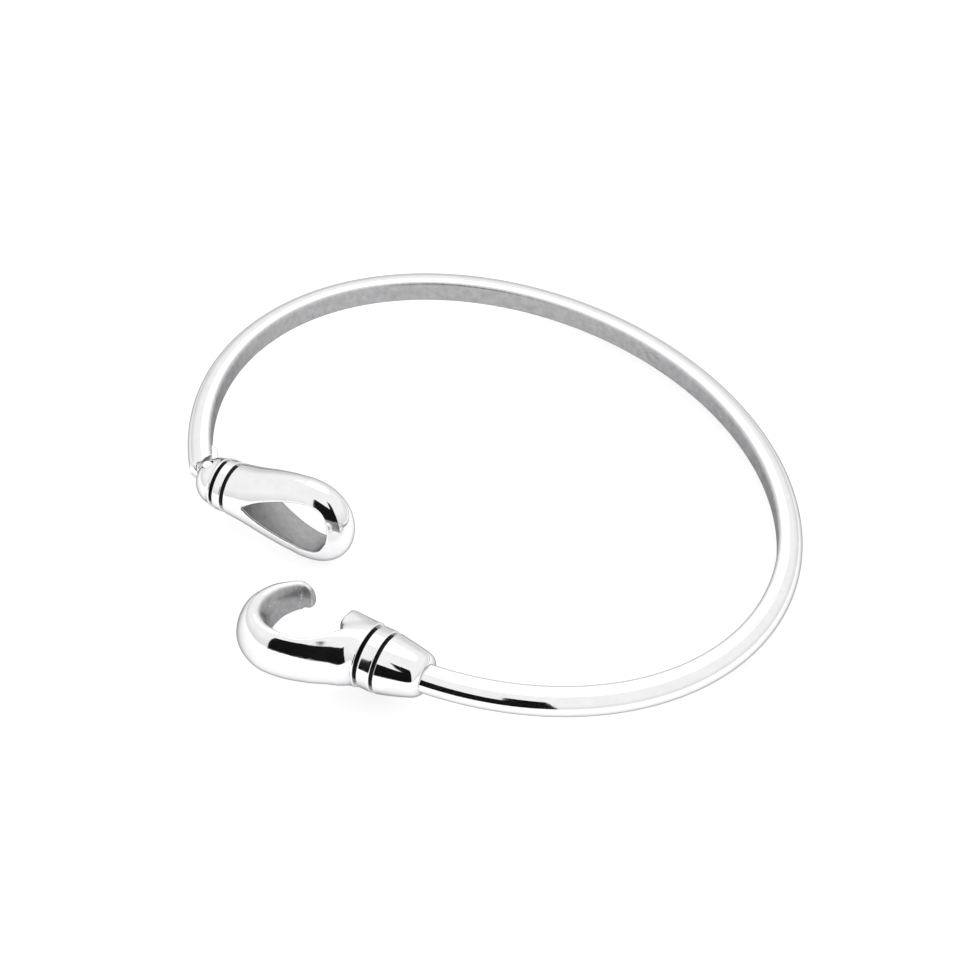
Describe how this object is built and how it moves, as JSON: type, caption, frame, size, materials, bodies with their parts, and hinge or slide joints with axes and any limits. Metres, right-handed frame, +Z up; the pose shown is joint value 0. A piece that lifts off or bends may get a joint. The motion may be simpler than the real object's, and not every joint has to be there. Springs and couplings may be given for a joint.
{
  "type": "bangle bracelet",
  "caption": "Oval wire bangle in polished silver that closes with a swinging eye dropped over a fixed hook.",
  "frame": {"origin": "centre of the bounding box, on the surface the bangle lies on", "axes": "+X along the oval's long axis, +Y from the clasp to the back of the bangle, +Z up off the surface"},
  "size_m": [0.0646, 0.0564, 0.0085],
  "materials": {
    "polished_silver": "mirror-polished sterling silver with faint hairline wear",
    "pin_silver": "duller sterling silver pin with filed ends"
  },
  "bodies": {
    "eye_side": {"wire_eye_half": "polished_silver", "eye_hinge_pin": "pin_silver"},
    "hook_side": {"wire_hook_half": "polished_silver", "hook_ferrule": "polished_silver", "hook_band": "polished_silver", "hook": "polished_silver"},
    "eye": {"eye_ferrule": "polished_silver", "eye_band": "polished_silver", "eye_loop": "polished_silver"}
  },
  "joints": [
    {"name": "bangle_squeeze", "type": "hinge", "parent": "eye_side", "child": "hook_side", "pos_m": [0, 0.02698, 0.00165], "axis": [0.0352, 0.0579, 0.9977], "range_deg": [-7.5, 4], "stiffness_Nm_per_rad": 2.15},
    {"name": "eye_swing", "type": "hinge", "parent": "eye_side", "child": "eye", "pos_m": [-0.01932, -0.01603, 0.00483], "axis": [0.0352, 0.0579, 0.9977], "range_deg": [-40, 30]}
  ]
}
